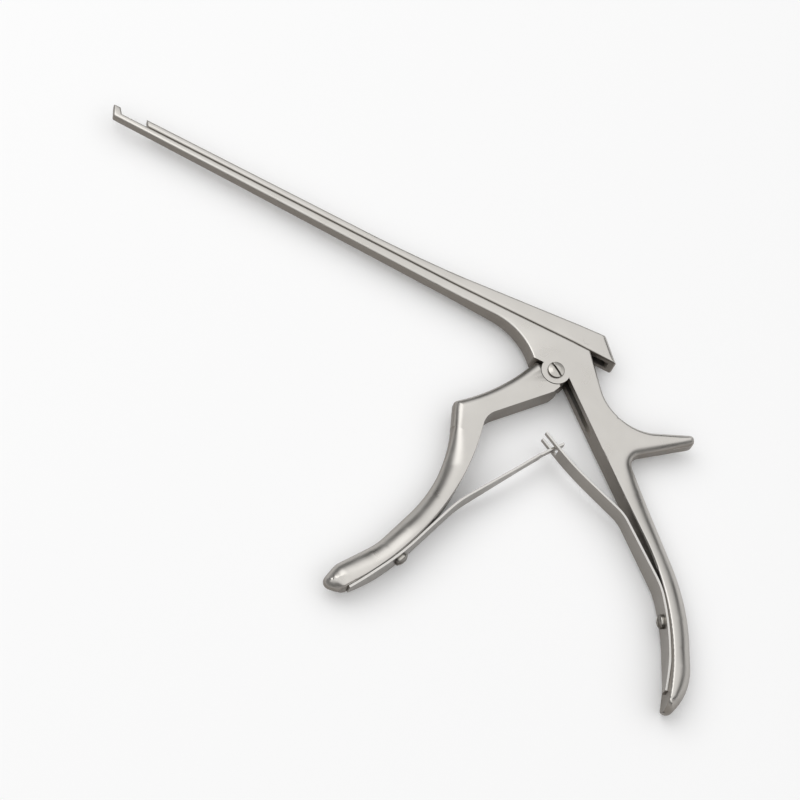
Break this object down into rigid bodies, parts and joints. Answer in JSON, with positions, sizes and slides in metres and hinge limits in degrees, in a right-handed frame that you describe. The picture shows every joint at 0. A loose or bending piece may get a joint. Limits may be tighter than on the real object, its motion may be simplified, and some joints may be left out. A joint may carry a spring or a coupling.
{
  "type": "bone rongeur",
  "caption": "Sliding-shaft bone punch: slide on a fixed shaft with a leaning footplate, worked by a hinged trigger, spur handle and interlinked leaf springs.",
  "frame": {"origin": "on the pivot screw's axis, in the plane of the far cheek that the instrument lies on", "axes": "+X along the shaft towards the rear, +Y in the flat of the instrument from the handles towards the slide, +Z across the instrument out of the near cheek"},
  "size_m": [0.2863, 0.1429, 0.0138],
  "materials": {
    "satin_steel": "satin ground stainless steel",
    "screw_steel": "turned and polished stainless steel",
    "spring_steel": "polished spring steel strip"
  },
  "bodies": {
    "frame": {"fixed_frame": "satin_steel", "pivot_screw": "screw_steel", "rear_spring": "spring_steel", "rear_spring_screw": "screw_steel"},
    "slide": {"slide": "satin_steel", "slide_pin": "screw_steel"},
    "trigger": {"trigger": "satin_steel", "front_spring": "spring_steel", "front_spring_screw": "screw_steel"}
  },
  "joints": [
    {"name": "trigger_pivot", "type": "hinge", "parent": "frame", "child": "trigger", "pos_m": [0, 0, 0.0047], "axis": [0, 0, 1], "range_deg": [0, 35.2], "stiffness_Nm_per_rad": 1.2, "springref_deg": -28.65, "deforming": ["front_spring", "rear_spring"]},
    {"name": "slide_travel", "type": "slide", "parent": "frame", "child": "slide", "axis": [-1, 0, 0], "range_m": [0, 0.0112]}
  ],
  "couplings": [
    {"joint": "slide_travel", "follows": "trigger_pivot", "m_per_rad": 0.01806}
  ]
}
